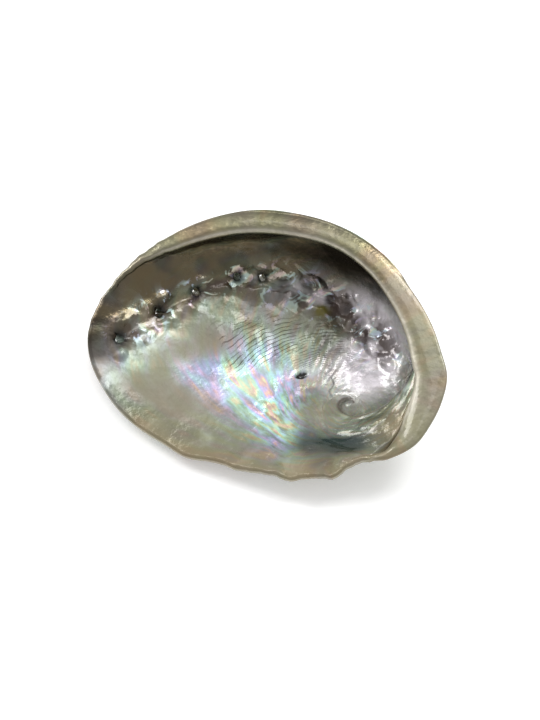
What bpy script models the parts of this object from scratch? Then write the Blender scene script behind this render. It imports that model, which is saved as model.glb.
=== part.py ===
"""A whole abalone shell lying on its back, opening upwards: one solid, grown by the shell's own spiral law.

Every earlier margin of the shell is the present one, turned and shrunk about the spire, so the surface is the
stack of those margins. "Age" is how far back along the growth a margin lies, as an angle of coiling.
Lengths are in metres. In the margin's own frame the spire is below the origin, X runs towards the posterior end,
Y towards the inner lip and Z out of the opening. The shell is then leaned into the attitude in which it rests.
"""

import bpy
import bmesh
import math
from mathutils import Matrix, Vector

MM = 0.001
UP = Vector((0.0, 0.0, 1.0))

# Growth
EXPANSION = 0.65                 # a margin shrinks by exp(-EXPANSION) for each radian of age
SPIRE_DEPTH = 25.0 * MM          # inside of the spire below the plane of the margin
AXIS_LEAN_X, AXIS_LEAN_Y = 0.08, 0.34    # slopes of the coiling axis against that plane

# Radius of the margin from the spire, in mm, at equal steps of bearing counter-clockwise from the posterior end
MARGIN_MM = (43.0, 42.4, 43.8, 46.7, 51.7, 59.8, 70.0, 81.5, 94.4, 104.8, 112.6, 113.6,
             98.5, 78.5, 61.5, 51.0, 46.0, 41.0, 36.8, 36.5, 38.8, 41.0, 41.2, 42.0)
# Width of the flange inside the margin, in mm, at the same bearings. The outer lip has only a plain rounded edge
FLANGE_MM = (13.5, 13.0, 12.0, 11.0, 10.5, 10.0, 10.0, 11.5, 11.5, 9.0, 5.5, 3.0,
             3.0, 3.0, 3.0, 3.0, 3.0, 3.0, 3.0, 4.0, 7.0, 11.0, 13.0, 13.5)
# How far its inner edge dips below the margin, in mm: towards the spire the flange runs down into the coil
FLANGE_DIP_MM = (0.3, 0, 0, 0, 0, 0, 0, 0, 0, 0, 0, 0, 0, 0, 0, 0, 0, 0, 0.5, 1.8, 3.0, 2.8, 2.0, 1.0)
# Age at which the section of the edge joins the bowl, at the same bearings
JOIN_AGE = (0.9, 0.7, 0.5, 0.4, 0.35, 0.35, 0.35, 0.35, 0.35, 0.4, 0.5, 0.5,
            0.5, 0.5, 0.5, 0.5, 0.5, 0.5, 0.6, 0.7, 0.8, 0.9, 1.0, 1.0)
PLAIN_WIDTH, FULL_WIDTH = 3.0 * MM, 9.0 * MM   # flange widths between which the edge changes its section

# Wall
LIP_WALL, SPIRE_WALL = 3.2 * MM, 2.6 * MM      # thickness at the margin and at the spire
LIP_INSET = 2.4 * MM                           # inner edge of the lip inside the margin
FLANGE_DROP = 3.0 * MM                         # thickness of the flange

# Row of breathing holes: a spiral line of constant bearing on the margin that carried it
HOLES = ((169.0, 0.11), (167.0, 0.27), (164.0, 0.41), (160.0, 0.55), (161.0, 0.68))   # margin degree, age
HOLE_RADIUS = 2.3 * MM
HOLE_SHRINK = 0.45                             # the older a hole, the smaller
PIT_AGE, PIT_BEARING = 1.17, math.radians(215.0)
PIT_RADIUS, PIT_DEPTH = 1.9 * MM, 1.6 * MM

# Resting attitude and the worn flat on the crown of the back
REST_PITCH, REST_ROLL = math.radians(14.0), math.radians(-11.0)
WORN_DEPTH = 1.1 * MM

AROUND = 72                                    # columns of the mesh
OLDEST, OLDEST_BACK = 5.2, 3.6                 # ages of the last rings inside and on the back
BOWL_RINGS, BACK_RINGS = 16, 14


def periodic(values, bearing):
    """A smooth closed curve of values at equal steps of bearing."""
    n = len(values)
    u = (bearing / (2 * math.pi)) % 1.0 * n
    i = int(u)
    u -= i
    a, b, c, d = (values[(i + k) % n] for k in (-1, 0, 1, 2))
    return b + ((c - a) + (2 * a - 5 * b + 4 * c - d + (3 * b - 3 * c + d - a) * u) * u) * (u / 2)


def bowl(bearing, age):
    """The inner surface: what the margin that is this old has at this bearing."""
    born = bearing + age
    radius = periodic(MARGIN_MM, born) * MM - LIP_INSET
    lean = (AXIS_LEAN_X * (math.cos(born) - math.cos(bearing))
            + AXIS_LEAN_Y * (math.sin(born) - math.sin(bearing)))
    size = math.exp(-EXPANSION * age)
    return Vector((size * radius * math.cos(bearing), size * radius * math.sin(bearing),
                   size * (SPIRE_DEPTH + radius * lean) - SPIRE_DEPTH))


def along_and_normal(bearing, age):
    """The direction along the margin and the surface's normal into the bowl."""
    step = 0.02
    along = bowl(bearing + step, age) - bowl(bearing - step, age)
    older = bowl(bearing, age + step) - bowl(bearing, age - step)
    return along.normalized(), along.cross(older).normalized()


def smooth(x):
    x = min(max(x, 0.0), 1.0)
    return x * x * (3 - 2 * x)


def back(bearing, age):
    """The outer surface: square to the wall near the margin, and straight below it at the spire."""
    share = smooth(age / 2.5)
    normal = along_and_normal(bearing, age)[1].lerp(UP, share).normalized()
    return bowl(bearing, age) - (LIP_WALL + (SPIRE_WALL - LIP_WALL) * share) * normal


def plain_edge(bearing, join):
    """Rings of a plain rounded lip, from inside to outside."""
    rings = [bowl(bearing, join * share) for share in (0.8, 0.6, 0.4, 0.25, 0.1)]
    along, normal = along_and_normal(bearing, 0.0)
    outward = along.cross(normal)
    centre = bowl(bearing, 0.0) - normal * (LIP_WALL / 2)
    for angle in (0.0, 45.0, 90.0, 135.0):
        turn = math.radians(angle)
        rings.append(centre + (normal * math.cos(turn) + outward * math.sin(turn)) * (LIP_WALL / 2))
    return rings


def flanged_edge(bearing, join, width):
    """The same rings where a flange stands in from the margin: underside, rounded edge, top and outer corner."""
    along = along_and_normal(bearing, 0.0)[0]
    inward = UP.cross(along).normalized()
    reach = width - LIP_INSET
    dip = periodic(FLANGE_DIP_MM, bearing) * MM
    drop = FLANGE_DROP
    section = (
        (reach - 0.3 * drop, -0.95 * drop), (reach, -0.6 * drop), (reach - 0.3 * drop, -0.15 * drop),
        (0.6 * reach, 0.1 * drop), (0.2 * reach, 0.2 * drop), (-0.4 * drop, 0.05 * drop),
        (-0.75 * drop, -0.2 * drop),
    )
    start = bowl(bearing, 0.0)
    rings = []
    for across, height in section:
        sag = dip * max(across / reach, 0.0) ** 1.5
        rings.append(start + inward * across + UP * (height - sag))
    wall = bowl(bearing, join)
    hollow = inward * (-0.12 * reach)
    return [wall.lerp(rings[0], 0.33) + hollow, wall.lerp(rings[0], 0.66) + hollow] + rings


def section_at(bearing):
    """All the rings at one bearing, from the inside of the spire over the margin to the back of the spire."""
    join = periodic(JOIN_AGE, bearing)
    inside = [bowl(bearing, join + (OLDEST - join) * (1 - i / (BOWL_RINGS - 1)) ** 1.15)
              for i in range(BOWL_RINGS)]
    width = periodic(FLANGE_MM, bearing) * MM
    share = smooth((width - PLAIN_WIDTH) / (FULL_WIDTH - PLAIN_WIDTH))
    edge = [a.lerp(b, share) for a, b in zip(plain_edge(bearing, join), flanged_edge(bearing, join, width))]
    outside = [back(bearing, OLDEST_BACK * (i / (BACK_RINGS - 1)) ** 1.3) for i in range(BACK_RINGS)]
    return inside + edge + outside


def shell_mesh():
    """A sphere whose rings become the rings of the shell: its top the bowl, its bottom the back."""
    sections = [section_at(2 * math.pi * i / AROUND) for i in range(AROUND)]
    rings = len(sections[0]) + 1
    bm = bmesh.new()
    bmesh.ops.create_uvsphere(bm, u_segments=AROUND, v_segments=rings, radius=1.0)
    for vert in bm.verts:
        ring = round(math.acos(max(-1.0, min(1.0, vert.co.z))) / math.pi * rings)
        column = round(math.atan2(vert.co.y, vert.co.x) / (2 * math.pi) * AROUND) % AROUND
        if ring == 0:
            vert.co = Vector((0.0, 0.0, -SPIRE_DEPTH))
        elif ring == rings:
            vert.co = Vector((0.0, 0.0, -SPIRE_DEPTH - SPIRE_WALL))
        else:
            vert.co = sections[column][ring - 1]
    bmesh.ops.triangulate(bm, faces=bm.faces[:], quad_method="SHORT_EDGE")
    mesh = bpy.data.meshes.new("abalone_shell")
    bm.to_mesh(mesh)
    bm.free()
    return mesh


def collection(name):
    made = bpy.data.collections.new(name)
    bpy.context.scene.collection.children.link(made)
    return made


def cylinder_cutter(name, group, centre, axis, radius, length, attitude):
    bm = bmesh.new()
    bmesh.ops.create_cone(bm, cap_ends=True, segments=14, radius1=radius, radius2=radius, depth=length)
    mesh = bpy.data.meshes.new(name)
    bm.to_mesh(mesh)
    bm.free()
    cutter = bpy.data.objects.new(name, mesh)
    turn = axis.to_track_quat("Z", "Y").to_matrix().to_4x4()
    cutter.matrix_world = attitude @ Matrix.Translation(centre) @ turn
    as_cutter(cutter, group)
    return cutter


def as_cutter(cutter, group):
    group.objects.link(cutter)
    cutter.hide_render = True
    cutter.display_type = "WIRE"


def cut(part, cutter):
    boolean = part.modifiers.new("cut " + cutter.name, "BOOLEAN")
    boolean.operation = "DIFFERENCE"
    boolean.solver = "EXACT"
    boolean.object = cutter


def pearl_material():
    material = bpy.data.materials.new("nacre")
    material.use_nodes = True
    shader = material.node_tree.nodes["Principled BSDF"]
    shader.inputs["Base Color"].default_value = (0.42, 0.42, 0.36, 1.0)
    shader.inputs["Roughness"].default_value = 0.25
    shader.inputs["Metallic"].default_value = 0.0
    return material


def main():
    for old in list(bpy.data.objects):
        bpy.data.objects.remove(old, do_unlink=True)
    parts, cutters = collection("abalone"), collection("cutters")

    shell = bpy.data.objects.new("abalone_shell", shell_mesh())
    parts.objects.link(shell)
    shell.data.materials.append(pearl_material())
    shell.data.shade_smooth()

    # Lean the shell, then stand its worn crown on the ground with the whole outline centred over the origin
    lean = Matrix.Rotation(REST_PITCH, 4, "X") @ Matrix.Rotation(REST_ROLL, 4, "Y")
    corners = [lean @ vert.co for vert in shell.data.vertices]
    low = Vector([min(c[i] for c in corners) for i in range(3)])
    high = Vector([max(c[i] for c in corners) for i in range(3)])
    middle = (low + high) / 2
    attitude = Matrix.Translation((-middle.x, -middle.y, -low.z - WORN_DEPTH)) @ lean
    shell.data.transform(attitude)

    for i, (degree, age) in enumerate(HOLES):
        bearing = math.radians(degree) - age
        centre = bowl(bearing, age)
        radius = HOLE_RADIUS * math.exp(-HOLE_SHRINK * age)
        axis = along_and_normal(bearing, age)[1]
        cut(shell, cylinder_cutter(f"hole_{i + 1}", cutters, centre, axis, radius, 20 * MM, attitude))

    bearing = PIT_BEARING - PIT_AGE
    axis = along_and_normal(bearing, PIT_AGE)[1]
    centre = bowl(bearing, PIT_AGE) + axis * (5 * MM - PIT_DEPTH)
    cut(shell, cylinder_cutter("pit", cutters, centre, axis, PIT_RADIUS, 10 * MM, attitude))

    ground = cylinder_cutter("ground", cutters, Vector(), UP, 0.2, 20 * MM, Matrix.Translation((0, 0, -10 * MM)))
    cut(shell, ground)


main()
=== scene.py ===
import math

import bmesh
import bpy
import numpy as np
from mathutils import Matrix, Vector, noise


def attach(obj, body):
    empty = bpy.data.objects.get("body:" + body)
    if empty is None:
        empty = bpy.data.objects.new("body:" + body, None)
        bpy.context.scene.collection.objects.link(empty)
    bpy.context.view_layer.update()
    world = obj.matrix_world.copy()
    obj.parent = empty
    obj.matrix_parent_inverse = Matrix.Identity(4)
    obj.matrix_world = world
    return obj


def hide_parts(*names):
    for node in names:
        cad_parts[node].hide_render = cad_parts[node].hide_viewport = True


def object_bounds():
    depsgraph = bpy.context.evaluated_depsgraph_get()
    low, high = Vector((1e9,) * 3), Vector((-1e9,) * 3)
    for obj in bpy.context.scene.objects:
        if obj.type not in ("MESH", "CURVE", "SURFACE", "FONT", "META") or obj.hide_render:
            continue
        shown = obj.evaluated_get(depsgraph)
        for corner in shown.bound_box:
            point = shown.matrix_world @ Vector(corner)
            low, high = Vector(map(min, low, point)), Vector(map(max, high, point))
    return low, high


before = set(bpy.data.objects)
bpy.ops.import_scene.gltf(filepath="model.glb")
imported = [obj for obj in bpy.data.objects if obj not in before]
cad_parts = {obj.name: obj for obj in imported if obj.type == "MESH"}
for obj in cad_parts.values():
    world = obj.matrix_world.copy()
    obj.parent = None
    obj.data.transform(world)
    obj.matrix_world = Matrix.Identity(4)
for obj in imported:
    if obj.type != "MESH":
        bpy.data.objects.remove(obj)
cadLow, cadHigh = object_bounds()
mm = 0.001
up = np.array([0.0, 0.0, 1.0])

# elevation in degrees above the floor, lens and sensor in mm, the rest in metres; the aim is
# moved from the middle of the shell
cameraView = dict(elevation=54.0, distance=0.75, lens=89.7, sensor=36.0, aimAcross=0.0030, aimDown=0.0060)


def addCamera(view):
    centre = (cadLow + cadHigh) / 2
    lift = math.radians(view["elevation"])
    towards = Vector((0.0, -math.cos(lift), math.sin(lift)))
    screenUp = Vector((0.0, math.sin(lift), math.cos(lift)))
    aim = centre - screenUp * view["aimDown"] + Vector((view["aimAcross"], 0.0, 0.0))
    data = bpy.data.cameras.new("camera")
    data.lens = view["lens"]
    data.sensor_width = view["sensor"]
    camera = bpy.data.objects.new("camera", data)
    camera.location = aim + towards * view["distance"]
    camera.rotation_euler = (-towards).to_track_quat("-Z", "Y").to_euler()
    bpy.context.collection.objects.link(camera)
    bpy.context.scene.camera = camera


addCamera(cameraView)
print("camera placed")

# growth law, the same as the solid's: a point has a bearing about the spire and an age, the
# angle that the shell has turned since that point was part of the margin
growth = dict(
    expansion=0.65,  # growth in size per radian of age
    spireDepth=0.025, leanX=0.08, leanY=0.34,  # spire below the margin's plane, lean of the coil's axis
    wall=0.0032, spireWall=0.0026, lipInset=0.0024, flangeDrop=0.003,
    pitch=14.0, roll=-11.0,  # how the shell lies, in degrees
    oldest=5.6,  # age at the middle of the spire
    # the rest go round the margin in steps of 15 degrees, from the right towards the top
    marginMm=(43.0, 42.4, 43.8, 46.7, 51.7, 59.8, 70.0, 81.5, 94.4, 104.8, 112.6, 113.6,
              98.5, 78.5, 61.5, 51.0, 46.0, 41.0, 36.8, 36.5, 38.8, 41.0, 41.2, 42.0),
    flangeMm=(13.5, 13.0, 12.0, 11.0, 10.0, 9.2, 8.8, 9.6, 9.8, 8.0, 5.0, 3.0,
              3.0, 3.0, 3.0, 3.0, 3.0, 3.0, 3.0, 4.0, 7.0, 11.0, 13.0, 13.5),
    flangeDipMm=(0.3, 0, 0, 0, 0, 0, 0, 0, 0, 0, 0, 0, 0, 0, 0, 0, 0, 0, 0.5, 1.8, 3.0, 2.8, 2.0, 1.0),
    joinAge=(0.9, 0.7, 0.5, 0.4, 0.35, 0.35, 0.35, 0.35, 0.33, 0.22, 0.10, 0.05,
             0.04, 0.04, 0.04, 0.04, 0.04, 0.05, 0.15, 0.35, 0.6, 0.8, 0.95, 1.0),
)
meshSize = dict(columns=420, bowlRows=100, edgeRows=24, leadRows=8, backRows=8)
# the row of holes: ages of the holes, how deep each one's cup is, and where on the margin the
# row was laid down at each age. Radii get smaller with age, by shrink for each radian, and
# acrossRow and alongRow turn radians into metres
holes = dict(
    openAges=(0.11, 0.27, 0.41, 0.55, 0.68), radius=0.0022, shrink=0.45,
    # the last radius on the next line is how far the painted shade in and round each hole reaches
    cupRadius=0.0042, cupShrink=0.35, holeShadeRadius=0.0038,
    closedAges=(0.82, 0.98, 1.15, 1.33, 1.52, 1.73, 1.95, 2.2),
    cups=(0.0011,) * 5 + (0.0015,) * 3 + (0.0007,) * 5,
    rowAges=(0.0, 0.11, 0.27, 0.41, 0.48, 0.55, 0.62, 0.68, 0.8, 0.95, 1.28, 1.87, 2.22),
    rowDegrees=(170, 169, 167, 164, 161.8, 160, 160, 161, 163.3, 165, 168, 175, 177),
    acrossRow=0.11, alongRow=0.075,
    funnel=0.0009, funnelReach=0.0012,  # how far the rim of a hole is drawn down
    slant=0.0031, exit=0.42,  # how far the way out leans to the lip, and how much it narrows
)


# a closed smooth curve through evenly spaced values
def periodic(values, bearing):
    values = np.asarray(values, float)
    n = len(values)
    u = (bearing / (2 * np.pi)) % 1.0 * n
    i = np.floor(u).astype(int)
    u = u - i
    return between([values[(i + k) % n] for k in (-1, 0, 1, 2)], u)


# Catmull-Rom curve between the middle two of four neighbours
def between(neighbours, u):
    a, b, c, d = neighbours
    return b + ((c - a) + (2 * a - 5 * b + 4 * c - d + (3 * b - 3 * c + d - a) * u) * u) * (u / 2)


def smooth(x):
    x = np.clip(x, 0.0, 1.0)
    return x * x * (3 - 2 * x)


def bell(x):
    return np.exp(-x ** 2)


def unit(v):
    return v / np.maximum(np.linalg.norm(v, axis=-1, keepdims=True), 1e-12)


# an angle brought to the half turn either side of zero
def turned(angle):
    return (angle + np.pi) % (2 * np.pi) - np.pi


def sizeAt(age):
    return np.exp(-growth["expansion"] * age)


# where on the margin the row of holes was laid down at each age
def rowBorn(age):
    return np.radians(np.interp(age, holes["rowAges"], holes["rowDegrees"]))


def rowDistance(bearing, age):
    return turned(bearing + age - rowBorn(age)) * holes["acrossRow"] * sizeAt(age)


# outline of the outer lip: height in mm, then rate and phase of a wave, or bearing and width of a bump
lip = dict(
    scallops=[(0.45, 0.29, 1.0), (0.22, 0.53, 0.4), (0.10, 0.97, 0.0), (0.05, 2.3, 2.0)],
    nicks=[(0.22, 1.1, 0.0), (0.15, 2.5, 1.0)],
    bumps=[(1.6, 201, 4.0), (2.2, 263, 9.0), (-1.3, 284, 7.0)],
    fade=0.07,  # age at which they are nearly gone
)


# scallops, nicks and bumps of the outer lip, as a shift outwards
def lipShift(bearing, age):
    deg = np.degrees(bearing) % 360
    lower = smooth((deg - 197) / 10) * smooth((300 - deg) / 12)
    upperLeft = smooth((deg - 132) / 8) * smooth((165 - deg) / 10)
    scallops = sum(high * np.sin(deg * rate + phase) for high, rate, phase in lip["scallops"]) * lower
    nicks = sum(high * np.sin(deg * rate + phase) for high, rate, phase in lip["nicks"]) * upperLeft
    bumps = sum(high * bell((deg - place) / wide) for high, place, wide in lip["bumps"])
    shift = (scallops + bumps + nicks) * mm * np.exp(-age / lip["fade"])
    out = np.stack([np.cos(bearing), np.sin(bearing), 0 * bearing], -1)
    return out * shift[..., None]


def bowl(bearing, age):
    born = bearing + age
    radius = periodic(growth["marginMm"], born) * mm - growth["lipInset"]
    rise = (growth["leanX"] * (np.cos(born) - np.cos(bearing))
            + growth["leanY"] * (np.sin(born) - np.sin(bearing)))
    size = sizeAt(age)
    depth = growth["spireDepth"]
    return np.stack([size * radius * np.cos(bearing), size * radius * np.sin(bearing),
                     size * (depth + radius * rise) - depth], -1)


def alongAndNormal(bearing, age):
    step = 0.012
    along = bowl(bearing + step, age) - bowl(bearing - step, age)
    older = bowl(bearing, age + step) - bowl(bearing, age - step)
    return unit(along), unit(np.cross(along, older))


# the back: one wall's thickness below the bowl, straight down near the spire
def outside(bearing, age):
    share = smooth(age / 2.5)[..., None]
    normal = unit(alongAndNormal(bearing, age)[1] * (1 - share) + up * share)
    return bowl(bearing, age) - (growth["wall"] + (growth["spireWall"] - growth["wall"]) * share) * normal


# points of a smooth curve through controls (columns, n, 3), leaving out its two end controls
def curveThrough(controls, count):
    n = controls.shape[1]
    t = np.linspace(1, n - 2, count)
    i = np.minimum(np.floor(t).astype(int), n - 3)
    return between([controls[:, i + k] for k in (-1, 0, 1, 2)], (t - i)[None, :, None])


# columns of the mesh, spaced evenly along the margin
def evenBearings():
    fine = np.linspace(0, 2 * np.pi, 4001)
    line = bowl(fine, 0 * fine)
    run = np.concatenate([[0], np.cumsum(np.linalg.norm(np.diff(line, axis=0), axis=1))])
    steps = np.arange(meshSize["columns"]) / meshSize["columns"] * run[-1]
    return np.interp(steps, run, fine)


# ages of the rows inside, closer together towards the spire
def bowlAges(bearing, join):
    ages = join[:, None] + (growth["oldest"] - join[:, None]) * np.linspace(0, 1, 500)[None, :] ** 1.2
    points = bowl(bearing[:, None], ages)
    length = np.linalg.norm(np.diff(points, axis=1), axis=2)
    radius = np.linalg.norm(points[:, 1:, :2], axis=2)
    spacing = 0.0003 + 0.012 * radius
    run = np.cumsum(length / spacing, axis=1)
    run = np.concatenate([np.zeros((len(bearing), 1)), run], axis=1)
    share = np.linspace(0, 1, meshSize["bowlRows"])
    return np.array([np.interp(share * r[-1], r, a) for r, a in zip(run, ages)])


# age at which the wall turns into the flange: never further in than the flange's own edge
def joinAges(bearing):
    width = periodic(growth["flangeMm"], bearing) * mm
    edgeRadius = np.linalg.norm(bowl(bearing, 0 * bearing)[:, :2], axis=1) - (width - growth["lipInset"])
    ages, clearance = np.linspace(0.0, 1.2, 241), 0.0008
    wallRadius = np.linalg.norm(bowl(bearing[:, None], ages[None, :])[..., :2], axis=2)
    even = ages[np.argmax(wallRadius < edgeRadius[:, None] + clearance, axis=1)]
    return np.maximum(np.minimum(periodic(growth["joinAge"], bearing), even), 0.04)


# the flange's section, from under its inner edge to the outer lip: share of its reach, then
# multiples of its drop inwards and up
flangeSection = [(1, -0.42, -0.98), (1, -0.10, -0.82), (1, 0, -0.50), (1, -0.22, -0.14), (0.72, 0, 0.10),
                 (0.45, 0, 0.20), (0.15, 0, 0.16), (0, -0.35, 0), (0, -0.72, -0.22)]
flangeWidths = (0.003, 0.009)  # narrower is a plain rounded lip, wider is a full flange


# rounded lip, where there is no flange
def plainEdge(bearing, join, count):
    lead = meshSize["leadRows"]
    along, normal = alongAndNormal(bearing, 0 * bearing)
    outward = np.cross(along, normal)
    half = growth["wall"] / 2
    rows = [bowl(bearing, join * (1 - (i + 1) / lead)) for i in range(lead - 1)]
    centre = bowl(bearing, 0 * bearing) - normal * half
    for turn in np.linspace(0, np.pi, count - lead + 2)[:-1]:
        rows.append(centre + (normal * np.cos(turn) + outward * np.sin(turn)) * half)
    return np.stack(rows, 1)


# flange, from the wall up under its inner edge and out over its top
def flangedEdge(bearing, join, width, count):
    one = np.ones_like(bearing)
    reach = np.maximum(width - growth["lipInset"], 0.0004)
    dip = np.maximum(periodic(growth["flangeDipMm"], bearing), 0) * mm
    drop = growth["flangeDrop"]
    start = bowl(bearing, 0 * bearing)
    inward = unit(np.cross(up, alongAndNormal(bearing, 0 * bearing)[0]))
    top = []
    for share, slide, rise in flangeSection:
        across = share * reach + slide * drop
        sag = dip * np.maximum(across / reach, 0.0) ** 1.5
        top.append(start + inward * across[:, None] + up * (rise * drop * one - sag)[:, None])
    wallPoint = bowl(bearing, join)
    beyond = np.linalg.norm(wallPoint[:, :2], axis=1) - (np.linalg.norm(start[:, :2], axis=1) - reach)
    hollow = inward * (-0.15 * np.maximum(beyond, 0.0))[:, None]
    under = [wallPoint * 0.66 + top[0] * 0.34 + hollow, wallPoint * 0.33 + top[0] * 0.67 + hollow]
    controls = [bowl(bearing, join + 0.06), wallPoint] + under + top
    controls += [outside(bearing, 0 * bearing), outside(bearing, 0.05 * one)]
    return curveThrough(np.stack(controls, 1), count + 2)[:, 1:-1]


# rows over the edge, with how much of each is flange, the lip's colour and the pale worn edge
def edgeRows(bearing, join, count):
    width = periodic(growth["flangeMm"], bearing) * mm
    share = smooth((width - flangeWidths[0]) / (flangeWidths[1] - flangeWidths[0]))[:, None]
    step = np.arange(count)[None, :] / count
    lipShade = smooth((step - 0.30) / 0.08) * share + smooth((step - 0.52) / 0.20) * (1 - share)
    crease = bell((step - 0.49) / 0.045) * share
    crease += 0.5 * bell((step - 0.62) / 0.10) * (1 - share)
    plain, flanged = plainEdge(bearing, join, count), flangedEdge(bearing, join, width, count)
    blend = share[..., None]
    return plain * (1 - blend) + flanged * blend, share[:, 0], lipShade, crease


# smooth noise of about unit range at each point; scale in metres
def waves(points, scale, seed, octaves=3):
    flat = points.reshape(-1, 3) / scale + seed * 17.31
    values = np.zeros(len(flat))
    gain, zoom = 1.0, 1.0
    for _ in range(octaves):
        values += gain * np.array([noise.noise(p) for p in (flat * zoom).tolist()])
        gain, zoom = gain * 0.5, zoom * 2.1
    return values.reshape(points.shape[:-1])


# soft patches in the margin's plane: strength, centre and half axes in mm, lean in degrees
patches = dict(
    scar=[(1.0, (-27, 31), (24, 10), -22), (1.0, (-10, 26), (8, 15), 10),
          (0.8, (-46, 20), (8, 5), 20), (0.5, (-52, 31), (12, 6), -35)],
    rainbow=[(1.1, (-46, 6), (14, 26), 55), (1.1, (-38, 15), (13, 15), 30), (0.9, (-29, -12), (8, 14), 20),
             (0.3, (-66, 14), (10, 7), 0), (0.5, (-90, 16), (9, 5), -20)],
    # the next patches are pale nacre with painted highlights
    paleAndHighlight=[(2.2, (8, 19), (11, 13), -15), (1.2, (9, 42), (8, 15), 35), (0.9, (-10, 52), (18, 6), -15),
            (0.35, (-20, 15), (14, 8), 10), (0.4, (-46, 10), (12, 7), -30)],
    matte=[(1.0, (-60, 31), (14, 9), -35), (0.9, (-68, -1), (26, 9), -28), (0.8, (-82, 6), (14, 7), -35),
           (0.8, (-73, 25), (10, 7), -30), (0.9, (-14, -7), (11, 9), 10), (0.5, (-20, 40), (22, 9), -10),
           (0.6, (-80, 18), (5, 9), 40)],
    tip=[(1.5, (-106, 25), (9, 8), 10)],
    teal=[(1.5, (-3, -25), (17, 5.5), -2), (0.5, (-17, -18), (6, 8), 0)],
    moss=[(1.5, (-13, 45), (3, 2.6), 0)],
    spireFoot=[(1.2, (21, -18), (10, 6), 35)],
)


def spot(xy, centre, axes, degrees=0.0):
    c, s = math.cos(math.radians(degrees)), math.sin(math.radians(degrees))
    x, y = xy[..., 0] * 1000 - centre[0], xy[..., 1] * 1000 - centre[1]
    u, v = (x * c + y * s) / axes[0], (-x * s + y * c) / axes[1]
    return np.exp(-(u * u + v * v))


def patch(xy, name):
    return sum(strength * spot(xy, *shape) for strength, *shape in patches[name])


# the muscle scar: a broad crescent round the middle of the bowl
def scarShape(xy):
    return smooth(patch(xy, "scar") * 1.3 - 0.15)


# heights of the relief inside, in metres
insideRelief = dict(
    swell=0.0009, dents=0.00025, ripples=0.00045, trough=0.0007, ridges=0.0008, knobs=0.0024, knobBand=0.0012,
    scar=0.0007, wrinkles=0.00016, lobe=0.0014, fold=0.0008, pit=0.0017,
)
pitPlace = (-21.2, 13.6)  # mm, the small blind pit beside the scar


def sculptInside(bearing, age, base):
    high = insideRelief
    xy, size, row = base[..., :2], sizeAt(age), rowDistance(bearing, age)
    grown = np.stack([np.cos(bearing + age), np.sin(bearing + age), age * 2.2], -1)
    relief = high["swell"] * waves(base, 0.022, 1, 2) + high["dents"] * waves(base, 0.008, 2, 2)
    relief += high["ripples"] * waves(grown, 0.55, 3, 2) * smooth(age / 0.15) * size ** 0.5
    # the row of holes runs in a shallow trough between two knobbly ridges
    fade = smooth((2.4 - age) / 0.8)
    relief -= high["trough"] * bell(row / 0.0045) * fade * size ** 0.5
    knobs = waves(base, 0.0075, 4, 2)
    beside = bell((np.abs(row) - 0.0065) / 0.0036)
    relief += (high["ridges"] + high["knobs"] * knobs) * beside * fade * smooth(age / 0.1)
    relief += high["knobBand"] * knobs * bell((row + 0.003) / 0.011) * smooth((age - 0.3) / 0.3) * fade
    for hole, deep in zip(holes["openAges"] + holes["closedAges"], holes["cups"]):
        along = (age - hole) * holes["alongRow"] * size
        reach = np.hypot(along, row) / (holes["cupRadius"] * math.exp(-holes["cupShrink"] * hole))
        relief += deep * (-bell(reach) + 0.5 * bell((reach - 1.5) / 0.4))  # a cup with a raised rim
    scar = scarShape(xy)
    relief += high["scar"] * scar
    wrinkle = np.sin((age * 60) + 5 * waves(base, 0.012, 6, 2))
    relief += high["wrinkles"] * wrinkle * scar * smooth(1.5 * waves(base, 0.01, 7, 1) + 0.6)
    # a smooth lobe by the spire, the fold that leaves it, and the pit
    relief += high["lobe"] * spot(xy, (-15, -6), (11, 9), 20)
    relief -= high["fold"] * spot(xy, (-33, -5), (3.2, 15), -22)
    relief -= high["pit"] * spot(xy, pitPlace, (2.6, 1.7), 20)
    return relief


# the line where the flange's inner edge winds down into the spire, turn by turn, with its fade
def crestTurns(bearing):
    for turn in (0, 1):
        wound = np.degrees(bearing) % 360 - 360 * turn
        near = smooth((20 - wound) / 40) * smooth((wound + 420) / 60)
        yield near, 0.0255 * np.exp(0.50 * np.radians(wound - 17))


# a ridge along that line, with a groove inside it
def crest(bearing, base):
    radius = np.linalg.norm(base[..., :2], axis=-1)
    relief = 0 * radius
    for near, line in crestTurns(bearing):
        wide = 0.0006 + 0.05 * line
        ridge, groove = bell((radius - line) / wide), bell((radius - line + 1.9 * wide) / wide)
        relief += near * (0.060 * line * ridge - 0.050 * line * groove)
    return relief


# a thin line along the foot of that ridge
def crestLine(bearing, planar):
    radius = np.linalg.norm(planar[..., :2], axis=-1)
    return sum(near * bell((radius - line * 0.90) / (0.0005 + 0.030 * line))
               for near, line in crestTurns(bearing))


# heights of the relief on the back, in metres, with the bulge's bearing in degrees
backRelief = dict(swell=0.0006, lines=0.0005, ribs=0.00012, ribCount=46, bulge=0.0030, bulgeBearing=-8.0,
                  rowRidge=0.0011, chimneys=0.0012)


def sculptOutside(bearing, age, base):
    high = backRelief
    size, row = sizeAt(age), rowDistance(bearing, age)
    grown = np.stack([np.cos(bearing + age), np.sin(bearing + age), age * 3.0], -1)
    relief = high["swell"] * waves(base, 0.02, 11, 2) + high["lines"] * size * waves(grown, 0.10, 12, 3)
    ribs = np.sin((bearing + age) * high["ribCount"] + 1.5 * waves(base, 0.02, 13, 1))
    relief += high["ribs"] * ribs * size
    turn = np.degrees(turned(bearing - math.radians(high["bulgeBearing"])))
    relief += high["bulge"] * bell(turn / 13.0) * bell((age - 0.10) / 0.08)
    relief += high["rowRidge"] * bell(row / 0.0042) * smooth((3.0 - age) / 0.8) * size ** 0.5
    for hole in holes["openAges"] + holes["closedAges"]:
        along = (age - hole) * holes["alongRow"] * size
        relief += high["chimneys"] * bell(np.hypot(along, row) / (0.0034 * size ** 0.4)) * size ** 0.4
    return relief


def tiltMatrix():
    turn = Matrix.Rotation(math.radians(growth["pitch"]), 3, "X")
    return np.array(turn @ Matrix.Rotation(math.radians(growth["roll"]), 3, "Y"))


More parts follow.
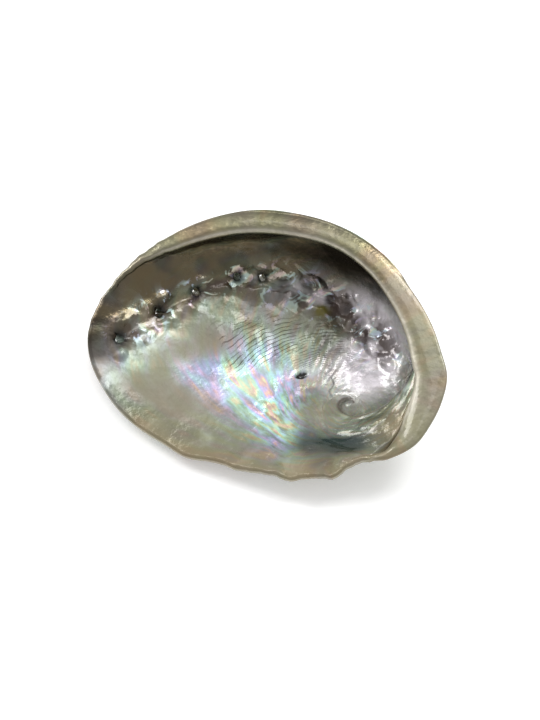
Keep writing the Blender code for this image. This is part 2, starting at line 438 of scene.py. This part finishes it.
def spread(bearing, rows):
    return np.repeat(bearing[:, None], rows, 1)


# all rows of the shell, from the inside of the spire over the edge to the back, with their masks
def shellGrid():
    bearing = evenBearings()
    join = joinAges(bearing)
    ages = bowlAges(bearing, join)
    column = spread(bearing, ages.shape[1])
    inner = bowl(column, ages)
    fade = smooth((ages - join[:, None]) / 0.06) * smooth((growth["oldest"] - ages) / 1.5)
    relief = (sculptInside(column, ages, inner) + crest(column, inner)) * fade
    carved = inner + alongAndNormal(column, ages)[1] * relief[..., None] + lipShift(column, ages)

    edge, flange, lipShade, crease = edgeRows(bearing, join, meshSize["edgeRows"])
    edgeCount = edge.shape[1]
    rough = waves(edge, 0.009, 21, 3)[..., None] * (0.00012 + 0.00040 * (1 - flange))[:, None, None]
    edge = edge + rough * np.sin(np.linspace(0, np.pi, edgeCount))[None, :, None] * up
    lead = np.clip(1 - np.arange(edgeCount)[None, :] / meshSize["leadRows"], 0, 1)
    edgeAges = join[:, None] * lead * (1 - flange[:, None])
    edge = edge + lipShift(spread(bearing, edgeCount), edgeAges)

    early = np.linspace(0, 1, meshSize["backRows"], endpoint=False)[None, :]
    backAges = np.concatenate([join[:, None] * early, ages], 1)
    backColumn = spread(bearing, backAges.shape[1])
    back = outside(backColumn, backAges)
    fade = smooth(backAges / 0.06) * smooth((growth["oldest"] - backAges) / 2.0)
    relief = sculptOutside(backColumn, backAges, back) * fade
    back = back - alongAndNormal(backColumn, backAges)[1] * relief[..., None] + lipShift(backColumn, backAges)

    masks = dict(
        age=np.concatenate([ages[:, ::-1], edgeAges, backAges], 1),
        bearing=spread(bearing, ages.shape[1] + edgeCount + backAges.shape[1]),
        edge=np.concatenate([0 * ages, lipShade, 0 * backAges], 1),
        crease=np.concatenate([0 * ages, crease, 0 * backAges], 1),
        back=np.concatenate([0 * ages, 0 * edgeAges, 1 + 0 * backAges], 1),
    )
    return np.concatenate([carved[:, ::-1], edge, back], 1), masks, ages.shape[1], edgeCount


# snaps grid points to each open hole's rim, and returns the cells of the bowl that fall away
def roundHoles(points, masks, inRows, edgeCount):
    rows = np.arange(inRows)
    backRow = inRows + edgeCount + meshSize["backRows"] + (inRows - 1 - rows)
    gone = np.zeros((points.shape[0], inRows - 1), bool)
    bearing, age = masks["bearing"][:, :inRows], masks["age"][:, :inRows]
    for openAge in holes["openAges"]:
        centreBearing = np.array(rowBorn(openAge) - openAge)
        along, normal = alongAndNormal(centreBearing, np.array(openAge))
        across = np.cross(normal, along)
        radius = holes["radius"] * math.exp(-holes["shrink"] * openAge)
        place = bowl(bearing, age) - bowl(centreBearing, np.array(openAge))
        u, v = place @ along, place @ across
        reach = np.where(np.abs(place @ normal) < 0.006, np.hypot(u, v), 1.0)
        angle = np.arctan2(v, u)[..., None]
        away = np.cos(angle) * along + np.sin(angle) * across
        inside = (reach < radius).astype(int)
        ahead = np.roll(inside, -1, 0)
        cells = (inside[:, :-1] + inside[:, 1:] + ahead[:, :-1] + ahead[:, 1:]) >= 2
        gone |= cells
        # every grid point on the border of the removed cells goes to the rim
        touches, whole = np.zeros_like(inside), np.zeros_like(inside)
        for dc in (0, 1):
            for dr in (0, 1):
                part = np.roll(cells, dc, 0)
                touches[:, dr:dr + part.shape[1]] += part
                whole[:, dr:dr + part.shape[1]] += 1
        border = (touches > 0) & (touches < whole)
        near = (~border) & (reach >= radius * 0.8) & (reach < radius * 2.2)
        pull = np.where(border, radius, reach)
        pull = np.where(near, radius + np.maximum(reach - radius, 0.0003), pull)
        move = np.where((border | near)[..., None], (pull - reach)[..., None] * away, 0.0)
        funnel = holes["funnel"] * np.exp(-np.maximum(reach - radius, 0) / holes["funnelReach"])
        drop = np.where(reach < radius * 3, funnel, 0.0)[..., None]
        points[:, rows] += move - drop * normal
        older = bowl(centreBearing, np.array(openAge + 0.02)) - bowl(centreBearing, np.array(openAge - 0.02))
        slant = bell(reach / 0.006)[..., None] * unit(older) * -holes["slant"]
        narrow = np.where(border, -holes["exit"] * radius, 0.0)[..., None] * away
        points[:, backRow] += move - 0.4 * drop * normal + slant + narrow
    return gone


# faces through the wall round each open hole, between the bowl's grid and the back's
def holeWalls(gone, number, inRows, first):
    columns = number.shape[0]
    walls = []

    def pair(c, r):
        return int(number[c % columns, r]), int(number[c % columns, first + inRows - 1 - r])

    for c, r in zip(*np.nonzero(gone)):
        for dc, dr, ends in ((-1, 0, ((0, 1), (0, 0))), (1, 0, ((1, 0), (1, 1))),
                             (0, -1, ((0, 0), (1, 0))), (0, 1, ((1, 1), (0, 1)))):
            if gone[(c + dc) % columns, r + dr]:
                continue
            (a, b), (d, e) = ends
            inA, outA = pair(c + a, r + b)
            inB, outB = pair(c + d, r + e)
            walls.append([inA, inB, outB, outA])
    return walls


# removes the grid points that the holes left without a face, and keeps each other point's number
def dropLoosePoints(mesh):
    bm = bmesh.new()
    bm.from_mesh(mesh)
    gridIndex = bm.verts.layers.int.new("gridIndex")
    for i, vert in enumerate(bm.verts):
        vert[gridIndex] = i
    bmesh.ops.delete(bm, geom=[v for v in bm.verts if not v.link_faces], context="VERTS")
    bmesh.ops.recalc_face_normals(bm, faces=bm.faces[:])
    bm.to_mesh(mesh)
    bm.free()


# the grid and its two poles leaned over and put where the solid is
def placeShell(points):
    tilt = tiltMatrix().T
    poleIn = np.array([0, 0, -growth["spireDepth"]])
    poles = np.array([poleIn, poleIn - growth["spireWall"] * up])
    world, poles = points @ tilt, poles @ tilt
    low, high = world.reshape(-1, 3).min(0), world.reshape(-1, 3).max(0)
    cadMiddle = (cadLow + cadHigh) / 2
    shift = np.array([cadMiddle.x - (low[0] + high[0]) / 2, cadMiddle.y - (low[1] + high[1]) / 2,
                      cadHigh.z - high[2]])
    return world + shift, poles + shift


def buildShell():
    points, masks, inRows, edgeCount = shellGrid()
    gone = roundHoles(points, masks, inRows, edgeCount)
    world, poles = placeShell(points)
    # worn flat where it rests
    onBack = masks["back"] > 0.5
    world[..., 2] = np.where(onBack, np.maximum(world[..., 2], cadLow.z), world[..., 2])
    poles[1, 2] = max(poles[1, 2], cadLow.z)

    columns, rowCount = points.shape[:2]
    number = np.arange(columns * rowCount).reshape(columns, rowCount)
    nextColumn = np.roll(number, -1, 0)
    first = inRows + edgeCount + meshSize["backRows"]
    keep = np.ones((columns, rowCount - 1), bool)
    keep[:, :inRows - 1] &= ~gone
    keep[:, first:first + inRows - 1] &= ~gone[:, ::-1]
    quads = np.stack([nextColumn[:, :-1], nextColumn[:, 1:], number[:, 1:], number[:, :-1]], -1)[keep]
    faces = quads.tolist() + holeWalls(gone, number, inRows, first)
    poleIn, poleOut = columns * rowCount, columns * rowCount + 1
    for c in range(columns):
        d = (c + 1) % columns
        faces.append([int(number[c, 0]), int(number[d, 0]), poleIn])
        faces.append([int(number[d, -1]), int(number[c, -1]), poleOut])
    mesh = bpy.data.meshes.new("abaloneShell")
    mesh.from_pydata(np.concatenate([world.reshape(-1, 3), poles]).tolist(), [], faces)
    dropLoosePoints(mesh)
    return mesh, points, masks, inRows + edgeCount


# painted shade inside the holes and their cups, and painted highlights glinting round their rims
def holeMasks(bearing, age, side):
    holeShade, rimHighlights = 0 * age, 0 * age
    openCount = len(holes["openAges"])
    for i, hole in enumerate(holes["openAges"] + holes["closedAges"][:5]):
        centre = bowl(np.array(rowBorn(hole) - hole), np.array(hole))
        away = np.linalg.norm(bowl(bearing, age) - centre, axis=-1)
        reach = away / (holes["holeShadeRadius"] * math.exp(-holes["shrink"] * hole))
        near = (np.abs(age - hole) < 0.5) & (np.abs(side) < 0.5)
        holeShade = np.maximum(holeShade, np.exp(-reach ** 6) * near * (1.0 if i < openCount else 0.5))
        rimHighlights = np.maximum(rimHighlights, bell((reach - 1.55) / 0.35) * near)
    return holeShade, rimHighlights


# everything that the material reads inside the bowl, from 0 to 1
def insideMasks(xy, planar, bearing, age):
    side = turned(bearing + age - rowBorn(age))
    degrees = np.degrees(side)
    row = np.abs(side) * holes["acrossRow"] * sizeAt(age)
    holeShade, rimHighlights = holeMasks(bearing, age, side)
    aboveSpire = smooth((degrees + 125) / 25)
    crackX = -8.0 + 0.7 * np.sin(xy[..., 1] * 900)
    crack = spot(xy, (crackX, 8.5), (0.45, 6.0), -5)
    names = ("rainbow", "paleAndHighlight", "matte", "tip", "teal", "moss")
    return dict(
        {name: np.clip(patch(xy, name), 0, 1) for name in names}, holeShade=holeShade, rimHighlights=rimHighlights, scar=scarShape(xy),
        holeRow=bell((row - 0.001) / 0.0095) * smooth((2.5 - age) / 0.6) * smooth((age - 0.02) / 0.12),
        ridge=crestLine(bearing, planar) * smooth((age - 0.3) / 0.2),
        # brown and olive stains with painted shade under the flange
        stainAndShade=smooth((3 - degrees) / 11) * aboveSpire * smooth((1.55 - age) / 0.8),
        # painted shade, near black, deeper under the flange
        deep=smooth((-degrees - 8) / 16) * aboveSpire * smooth((1.6 - age) / 0.8)
        * smooth((age - 0.25) / 0.35),
        band=np.clip(smooth(-xy[..., 1] / 0.012) * np.exp(-age / 0.16) + patch(xy, "spireFoot"), 0, 1),
        pit=np.clip(smooth(3.4 * spot(xy, pitPlace, (3.0, 1.8), 20) - 1.0) + 0.8 * crack, 0, 1),
    )


# writes what the material reads, one value for each point: growth coordinates and soft masks
def storeMasks(mesh, planar, masks):
    index = np.zeros(len(mesh.vertices), int)
    mesh.attributes["gridIndex"].data.foreach_get("value", index)
    mesh.attributes.remove(mesh.attributes["gridIndex"])
    xy = planar[..., :2]
    age, bearing, back = masks["age"], masks["bearing"], masks["back"]
    radius = np.maximum(np.linalg.norm(xy, axis=-1), 0.0005)
    spiral = np.log(radius / 0.03) - 0.30 * turned(np.arctan2(xy[..., 1], xy[..., 0]) - 2.1)
    values = dict(wind=spiral, back=back, edge=masks["edge"], crease=masks["crease"])
    for name, value in insideMasks(xy, planar, bearing, age).items():
        values[name] = value * (1 - back)
    for name, value in values.items():
        poles = [value[:, :1].mean(0), value[:, -1:].mean(0)]
        full = np.concatenate([value.reshape(-1)] + poles)
        layer = mesh.attributes.new(name, "FLOAT", "POINT")
        layer.data.foreach_set("value", full[index].astype(np.float32))
    grown = np.stack([np.cos(bearing + age), np.sin(bearing + age), age], -1).reshape(-1, 3)
    spire = [[0, 0, -growth["spireDepth"]]] * 2
    vectors = dict(grown=np.concatenate([grown, grown[:1], grown[-1:]]),
                   plan=np.concatenate([planar.reshape(-1, 3), spire]))
    for name, value in vectors.items():
        layer = mesh.attributes.new(name, "FLOAT_VECTOR", "POINT")
        layer.data.foreach_set("vector", value[index].astype(np.float32).reshape(-1))
    return index


# where on the map the bowl, the back and the walls of the holes lie: corner, then side
bakeMap = dict(front=((0.01, 0.27), (0.98, 0.72)), rear=((0.01, 0.01), (0.60, 0.245)),
               wall=((0.64, 0.02), (0.006, 0.008)), wallStep=(0.008, 0.012), wallsAcross=40)


# rows unrolled from their pole, by their run from it and their bearing; gives points and the pole
def chart(run, turn, area):
    corner, side = area
    place = np.stack([run * np.cos(turn), run * np.sin(turn)], -1)
    low, high = place.reshape(-1, 2).min(0), place.reshape(-1, 2).max(0)
    scale = min(side[0] / (high[0] - low[0]), side[1] / (high[1] - low[1]))
    return (place - low) * scale + corner, (0 - low) * scale + corner


# the bowl with its edge and the back as two charts of one map, which meet at the row called seam
def addBakeMap(mesh, index, planar, bearing, seam):
    columns, rowCount = planar.shape[:2]
    step = np.linalg.norm(np.diff(planar, axis=1), axis=2)
    spireIn = np.linalg.norm(planar[:, :1, :2], axis=2)
    runIn = np.concatenate([spireIn, spireIn + np.cumsum(step[:, :seam], 1)], 1)
    runOut = np.concatenate([np.cumsum(step[:, seam:][:, ::-1], 1)[:, ::-1], np.zeros((columns, 1))], 1)
    runOut = runOut + np.linalg.norm(planar[:, -1:, :2], axis=2)
    front, frontPole = chart(runIn, bearing[:, :seam + 1], bakeMap["front"])
    rear, rearPole = chart(runOut, -bearing[:, seam:], bakeMap["rear"])
    grid = np.zeros((columns, rowCount, 2, 2))
    grid[:, :seam + 1, 0] = front
    grid[:, seam:, 1] = rear
    place = np.zeros((columns * rowCount + 2, 2, 2))
    place[:-2] = grid.reshape(-1, 2, 2)
    place[-2, 0], place[-1, 1] = frontPole, rearPole
    onRear = np.append(np.tile(np.arange(rowCount) >= seam, columns), [False, True])
    pastSeam = np.append(np.tile(np.arange(rowCount) > seam, columns), [False, True])

    faceCount = len(mesh.polygons)
    loops, starts, totals = (np.zeros(n, int) for n in (len(mesh.loops), faceCount, faceCount))
    mesh.loops.foreach_get("vertex_index", loops)
    mesh.polygons.foreach_get("loop_start", starts)
    mesh.polygons.foreach_get("loop_total", totals)
    owner = np.repeat(np.arange(faceCount), totals)
    isRear, isFront = np.ones(faceCount, bool), np.ones(faceCount, bool)
    np.logical_and.at(isRear, owner, onRear[index[loops]])
    np.logical_and.at(isFront, owner, ~pastSeam[index[loops]])
    uv = place[index[loops], np.where(isRear[owner], 1, 0)]
    # the walls of the holes are neither: each face gets its own small square
    (left, bottom), (wide, tall) = bakeMap["wall"]
    stepX, stepY = bakeMap["wallStep"]
    for k, face in enumerate(np.nonzero(~(isRear | isFront))[0]):
        x, y = left + stepX * (k % bakeMap["wallsAcross"]), bottom + stepY * (k // bakeMap["wallsAcross"])
        corners = ((0, 0), (wide, 0), (wide, tall), (0, tall))
        for m in range(totals[face]):
            uv[starts[face] + m] = (x + corners[m % 4][0], y + corners[m % 4][1])
    mesh.uv_layers.new(name="OFBake").data.foreach_set("uv", uv.astype(np.float32).reshape(-1))


mesh, planar, masks, seam = buildShell()
index = storeMasks(mesh, planar, masks)
addBakeMap(mesh, index, planar, masks["bearing"], seam)
mesh.shade_smooth()
shell = bpy.data.objects.new("abaloneShell", mesh)
bpy.context.collection.objects.link(shell)
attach(shell, "root")
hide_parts("abalone_shell")
print("shell", len(mesh.vertices), "points", len(mesh.polygons), "faces")


def addNode(tree, kind, settings=None, inputs=None):
    made = tree.nodes.new(kind)
    for name, value in (settings or {}).items():
        setattr(made, name, value)
    for name, value in (inputs or {}).items():
        socket = made.inputs[name]
        if isinstance(value, bpy.types.NodeSocket):
            tree.links.new(value, socket)
        else:
            socket.default_value = value
    return made


def attribute(tree, name, output="Fac"):
    return addNode(tree, "ShaderNodeAttribute", {"attribute_name": name}).outputs[output]


def maths(tree, operation, a, b=0.0, clamp=False):
    made = addNode(tree, "ShaderNodeMath", {"operation": operation, "use_clamp": clamp}, {0: a, 1: b})
    return made.outputs[0]


def times(tree, a, b, clamp=False):
    return maths(tree, "MULTIPLY", a, b, clamp)


def plus(tree, a, b, clamp=False):
    return maths(tree, "ADD", a, b, clamp)


# what rises above a level, made steeper, from 0 to 1
def above(tree, value, level, gain):
    return times(tree, maths(tree, "SUBTRACT", value, level, True), gain, True)


def mixColour(tree, factor, a, b, blend="MIX"):
    made = addNode(tree, "ShaderNodeMix", {"data_type": "RGBA", "blend_type": blend}, {0: factor, 6: a, 7: b})
    return made.outputs[2]


# lays a plain colour over another, where the mask is
def paint(tree, under, mask, plain, strength=1.0):
    factor = mask if strength == 1.0 else times(tree, mask, strength)
    return mixColour(tree, factor, under, (*plain, 1.0))


def ramp(tree, factor, stops, interpolation="EASE"):
    made = addNode(tree, "ShaderNodeValToRGB", inputs={"Fac": factor})
    made.color_ramp.interpolation = interpolation
    elements = made.color_ramp.elements
    while len(elements) < len(stops):
        elements.new(0.5)
    for element, (place, colour) in zip(elements, sorted(stops)):
        element.position = place
    for element, (place, colour) in zip(elements, sorted(stops)):
        element.color = (*colour, 1.0)
    return made.outputs["Color"]


def noiseAt(tree, vector, scale, detail=3.0, roughness=0.5, distortion=0.0):
    return addNode(tree, "ShaderNodeTexNoise", inputs={
        "Vector": vector, "Scale": scale, "Detail": detail, "Roughness": roughness,
        "Distortion": distortion}).outputs["Fac"]


def stretched(tree, vector, scale):
    return addNode(tree, "ShaderNodeMapping", inputs={"Vector": vector, "Scale": scale}).outputs[0]


# colours of the shell, then its gloss
nacreLook = dict(
    silver=(0.180, 0.175, 0.122), pale=(0.42, 0.44, 0.38), shade=(0.075, 0.075, 0.052),
    # deep, a near-black brown, is the painted shade in the cavity and the dark tip's colour; pit is the
    # painted shade in the holes
    rust=(0.052, 0.027, 0.017), deep=(0.014, 0.009, 0.006), pit=(0.003, 0.0025, 0.003), crack=(0.004,) * 3,
    brown=(0.050, 0.028, 0.015), olive=(0.14, 0.105, 0.055), beige=(0.225, 0.175, 0.100),
    # white is used for pale nacre, the pastel streaks and the painted highlights
    teal=(0.007, 0.022, 0.023), moss=(0.13, 0.11, 0.015), white=(0.93, 0.87, 0.93),
    flange=(0.240, 0.205, 0.132), flangeShade=(0.160, 0.138, 0.086), rim=(0.62, 0.58, 0.48),
    backBrown=(0.16, 0.07, 0.035),
    roughness=0.15, metallic=0.20, coat=0.45, coatRoughness=0.06, bump=0.5, bumpHeight=0.0009,
)
# noise scales per metre, and the number and width of the scar's wrinkles
nacreGrain = dict(broad=60.0, fine=260.0, cloud=75.0, patches=100.0, spark=135.0, pores=420.0, dimples=130.0,
                  sway=95.0, breaks=150.0, wrinkles=24.0, wrinkleWidth=0.12)
spectrum = [(0.00, (0.62, 0.34, 0.52)), (0.11, (0.78, 0.42, 0.28)), (0.24, (0.78, 0.70, 0.26)),
            (0.38, (0.32, 0.74, 0.40)), (0.52, (0.26, 0.72, 0.62)), (0.66, (0.28, 0.62, 0.80)),
            (0.80, (0.30, 0.42, 0.80)), (0.92, (0.50, 0.36, 0.74)), (1.00, (0.62, 0.34, 0.52))]


# bands of interference colour that follow the lines of growth and wander with the relief
def pearlBands():
    group = bpy.data.node_groups.new("pearlBands", "ShaderNodeTree")
    face = group.interface
    face.new_socket("Grown", in_out="INPUT", socket_type="NodeSocketVector")
    face.new_socket("Plan", in_out="INPUT", socket_type="NodeSocketVector")
    face.new_socket("Bands", in_out="INPUT", socket_type="NodeSocketFloat").default_value = 3.0
    face.new_socket("Colour", in_out="OUTPUT", socket_type="NodeSocketColor")
    face.new_socket("Streaks", in_out="OUTPUT", socket_type="NodeSocketFloat")
    source = addNode(group, "NodeGroupInput").outputs
    drift = noiseAt(group, source["Plan"], 38.0, 2.0, 0.5, 0.6)
    along = noiseAt(group, stretched(group, source["Grown"], (2.0, 2.0, 7.5)), 1.0, 3.0, 0.55, 0.4)
    fine = noiseAt(group, stretched(group, source["Grown"], (6.0, 6.0, 18.0)), 1.0, 3.0, 0.55)
    hue = plus(group, times(group, along, source["Bands"]),
               plus(group, times(group, drift, 1.6), times(group, fine, 0.5)))
    sink = addNode(group, "NodeGroupOutput").inputs
    group.links.new(ramp(group, maths(group, "FRACT", hue), spectrum, "LINEAR"), sink["Colour"])
    group.links.new(above(group, fine, 0.36, 4.0), sink["Streaks"])
    return group


# silvery ground of the bowl, its pale parts with painted highlights, its coloured streaks and its calm parts
def groundColour(tree, look, pearl):
    hue, white = pearl["hue"], (*look["white"], 1)
    colour = ramp(tree, pearl["broad"], [(0.28, look["shade"]), (0.48, look["silver"]), (0.74, look["pale"])])
    colour = mixColour(tree, 0.30, colour, hue, "SOFT_LIGHT")
    colour = paint(tree, colour, above(tree, pearl["lines"], 0.5, 0.9), look["shade"])
    # pale nacre and painted highlights, lightened towards white
    pale = times(tree, attribute(tree, "paleAndHighlight"), plus(tree, pearl["fine"], 0.35), True)
    colour = mixColour(tree, pale, colour, white)
    streaked = plus(tree, times(tree, pearl["streaks"], 0.8), 0.25)
    rainbow = times(tree, attribute(tree, "rainbow"), streaked, True)
    pastel = mixColour(tree, times(tree, pearl["broad"], 0.6), hue, white)
    colour = mixColour(tree, rainbow, colour, pastel)
    calm = mixColour(tree, 0.35, (*look["silver"], 1), (*look["beige"], 1))
    return mixColour(tree, times(tree, pearl["matte"], 0.85), colour, calm)


# rusty troughs along the row of holes, brown and olive stains with painted shade under the flange, near-black
# painted shade deeper under it, glints that are painted highlights, the dark tip, and pits of painted shade
def rowColour(tree, look, pearl, colour):
    plan = pearl["plan"]
    row = attribute(tree, "holeRow")
    patchy = above(tree, noiseAt(tree, plan, nacreGrain["patches"], 2.0), 0.38, 6.0)
    colour = paint(tree, colour, times(tree, row, patchy), look["rust"], 0.92)
    cloud = noiseAt(tree, plan, nacreGrain["cloud"], 2.0, 0.45, 0.3)
    # the stains below are mixed with painted shade
    stainAndShadeMix = times(tree, pearl["stainAndShade"], plus(tree, times(tree, cloud, 1.1), 0.25), True)
    colour = mixColour(tree, stainAndShadeMix, colour, ramp(tree, cloud, [(0.35, look["brown"]), (0.60, look["olive"])]))
    # near-black painted shade deeper under the flange
    colour = paint(tree, colour, pearl["deep"], look["deep"], 0.92)
    # painted highlights: white-tinted glints along the row of holes and round the holes' rims
    glint = above(tree, noiseAt(tree, plan, nacreGrain["spark"], 3.0, 0.6, 0.8), 0.54, 14.0)
    paintedHighlights = times(tree, plus(tree, row, times(tree, attribute(tree, "rimHighlights"), 0.7)), glint, True)
    highlightTint = mixColour(tree, 0.45, (*look["white"], 1), pearl["hue"])
    colour = mixColour(tree, times(tree, paintedHighlights, 0.85), colour, highlightTint)
    colour = paint(tree, colour, pearl["tip"], look["deep"], 0.85)
    # painted shade, near black, inside the open holes and, fainter, in the closed holes' cups
    return paint(tree, colour, attribute(tree, "holeShade"), look["pit"], 0.96)


# thin broken dark wrinkles that wind round the muscle scar
def scarWrinkles(tree, plan):
    sway = times(tree, noiseAt(tree, plan, nacreGrain["sway"], 2.0), 0.09)
    turns = times(tree, plus(tree, attribute(tree, "wind"), sway), nacreGrain["wrinkles"])
    wave = maths(tree, "ABSOLUTE", maths(tree, "SUBTRACT", maths(tree, "FRACT", turns), 0.5))
    line = above(tree, nacreGrain["wrinkleWidth"], wave, 11.0)
    broken = above(tree, noiseAt(tree, plan, nacreGrain["breaks"], 2.0), 0.42, 9.0)
    return times(tree, times(tree, line, attribute(tree, "scar")), broken)


# flange and lip: smooth and greige, whitish along the worn edge
def flangeColour(tree, look, pearl):
    colour = ramp(tree, pearl["broad"], [(0.30, look["flangeShade"]), (0.55, look["flange"])])
    colour = mixColour(tree, 0.14, colour, pearl["hue"], "SOFT_LIGHT")
    worn = times(tree, attribute(tree, "crease"), plus(tree, pearl["fine"], 0.35), True)
    return paint(tree, colour, worn, look["rim"])


# the back: polished, with brown lines of growth between pearly ones
def backColour(tree, look, pearl):
    stops = [(0.40, look["backBrown"]), (0.50, look["silver"]), (0.66, look["pale"])]
    return mixColour(tree, 0.45, ramp(tree, pearl["lines"], stops), pearl["hue"], "SOFT_LIGHT")


def shellColour(tree, look, pearl, wrinkles, edge):
    colour = rowColour(tree, look, pearl, groundColour(tree, look, pearl))
    colour = paint(tree, colour, attribute(tree, "teal"), look["teal"], 0.92)
    band = times(tree, attribute(tree, "band"), plus(tree, pearl["broad"], 0.25), True)
    colour = paint(tree, colour, band, look["beige"])
    colour = paint(tree, colour, wrinkles, look["brown"], 0.8)
    colour = paint(tree, colour, attribute(tree, "ridge"), look["brown"], 0.8)
    colour = paint(tree, colour, attribute(tree, "moss"), look["moss"])
    colour = paint(tree, colour, attribute(tree, "pit"), look["crack"])
    colour = mixColour(tree, edge, colour, flangeColour(tree, look, pearl))
    return mixColour(tree, attribute(tree, "back"), colour, backColour(tree, look, pearl))


def nacreMaterial(look):
    material = bpy.data.materials.new("nacre")
    material.use_nodes = True
    tree = material.node_tree
    shader = tree.nodes["Principled BSDF"].inputs
    grown, plan = attribute(tree, "grown", "Vector"), attribute(tree, "plan", "Vector")
    bands = addNode(tree, "ShaderNodeGroup", {"node_tree": pearlBands()}, {"Grown": grown, "Plan": plan})
    pearl = dict(
        plan=plan, hue=bands.outputs["Colour"], streaks=bands.outputs["Streaks"],
        broad=noiseAt(tree, plan, nacreGrain["broad"], 4.0, 0.55, 0.5),
        fine=noiseAt(tree, plan, nacreGrain["fine"], 4.0, 0.6, 0.8),
        lines=noiseAt(tree, stretched(tree, grown, (3.0, 3.0, 70.0)), 1.0, 3.0, 0.6),
        **{name: attribute(tree, name) for name in ("matte", "stainAndShade", "deep", "tip")},
    )
    wrinkles, edge = scarWrinkles(tree, plan), attribute(tree, "edge")
    tree.links.new(shellColour(tree, look, pearl, wrinkles, edge), shader["Base Color"])

    rough = plus(tree, times(tree, pearl["broad"], 0.22), times(tree, pearl["matte"], 0.32))
    rough = plus(tree, rough, times(tree, edge, 0.10))
    rough = plus(tree, rough, times(tree, pearl["tip"], 0.25))
    tree.links.new(plus(tree, rough, look["roughness"]), shader["Roughness"])
    # a patch of stain and painted shade keeps only a brown glint, so its metallic value is high
    tree.links.new(plus(tree, times(tree, pearl["stainAndShade"], 0.75), look["metallic"], True), shader["Metallic"])
    dull = maths(tree, "MAXIMUM", maths(tree, "MAXIMUM", pearl["deep"], pearl["matte"]), pearl["tip"])
    gloss = times(tree, maths(tree, "SUBTRACT", 1.0, dull), look["coat"])
    tree.links.new(gloss, shader["Coat Weight"])
    shader["Coat Roughness"].default_value = look["coatRoughness"]

    pores = times(tree, noiseAt(tree, plan, nacreGrain["pores"]), 0.6)
    height = plus(tree, pores, noiseAt(tree, plan, nacreGrain["dimples"], 2.0))
    height = maths(tree, "SUBTRACT", height, times(tree, wrinkles, 0.8))
    bump = addNode(tree, "ShaderNodeBump", inputs={
        "Strength": look["bump"], "Distance": look["bumpHeight"], "Height": height})
    tree.links.new(bump.outputs[0], shader["Normal"])
    return material


shell.data.materials.append(nacreMaterial(nacreLook))
print("nacre made")

studio = dict(floorSize=8.0, floorColour=0.93, floorShade=0.985, floorGlow=0.28, floorRoughness=0.7,
              floorGap=0.0002, world=0.60)
lamps = dict(
    key=dict(place=(0.60, 0.70, 1.20), size=0.8, power=16.0),
    left=dict(place=(-1.00, 0.60, 0.80), size=0.5, power=7.0),
    top=dict(place=(-0.20, 0.35, 1.5), size=0.6, power=3.0),
)


def addFloor(values):
    bpy.ops.mesh.primitive_plane_add(size=values["floorSize"], location=(0, 0, cadLow.z - values["floorGap"]))
    floor = bpy.context.active_object
    floor.name = "floor"
    material = bpy.data.materials.new("floorPaper")
    material.use_nodes = True
    tree = material.node_tree
    shader = tree.nodes["Principled BSDF"].inputs
    grain = noiseAt(tree, addNode(tree, "ShaderNodeTexCoord").outputs["Object"], 90.0)
    tint = values["floorColour"]
    paper = ramp(tree, grain, [(0.3, (tint * values["floorShade"],) * 3), (0.7, (tint,) * 3)])
    tree.links.new(paper, shader["Base Color"])
    shader["Roughness"].default_value = values["floorRoughness"]
    shader["Emission Color"].default_value = (1.0, 1.0, 1.0, 1.0)
    shader["Emission Strength"].default_value = values["floorGlow"]
    floor.data.materials.append(material)


def addLamp(name, values):
    data = bpy.data.lights.new(name, "AREA")
    data.energy = values["power"]
    data.size = values["size"]
    lamp = bpy.data.objects.new(name, data)
    lamp.location = values["place"]
    lamp.rotation_euler = (-Vector(values["place"])).to_track_quat("-Z", "Y").to_euler()
    bpy.context.collection.objects.link(lamp)


def addWorld(values):
    world = bpy.data.worlds.new("studio")
    world.use_nodes = True
    background = world.node_tree.nodes["Background"]
    background.inputs["Color"].default_value = (1.0, 1.0, 1.0, 1.0)
    background.inputs["Strength"].default_value = values["world"]
    bpy.context.scene.world = world
    bpy.context.scene.view_settings.view_transform = "Standard"


addFloor(studio)
for lampName, lampValues in lamps.items():
    addLamp(lampName, lampValues)
addWorld(studio)
print("studio lit")
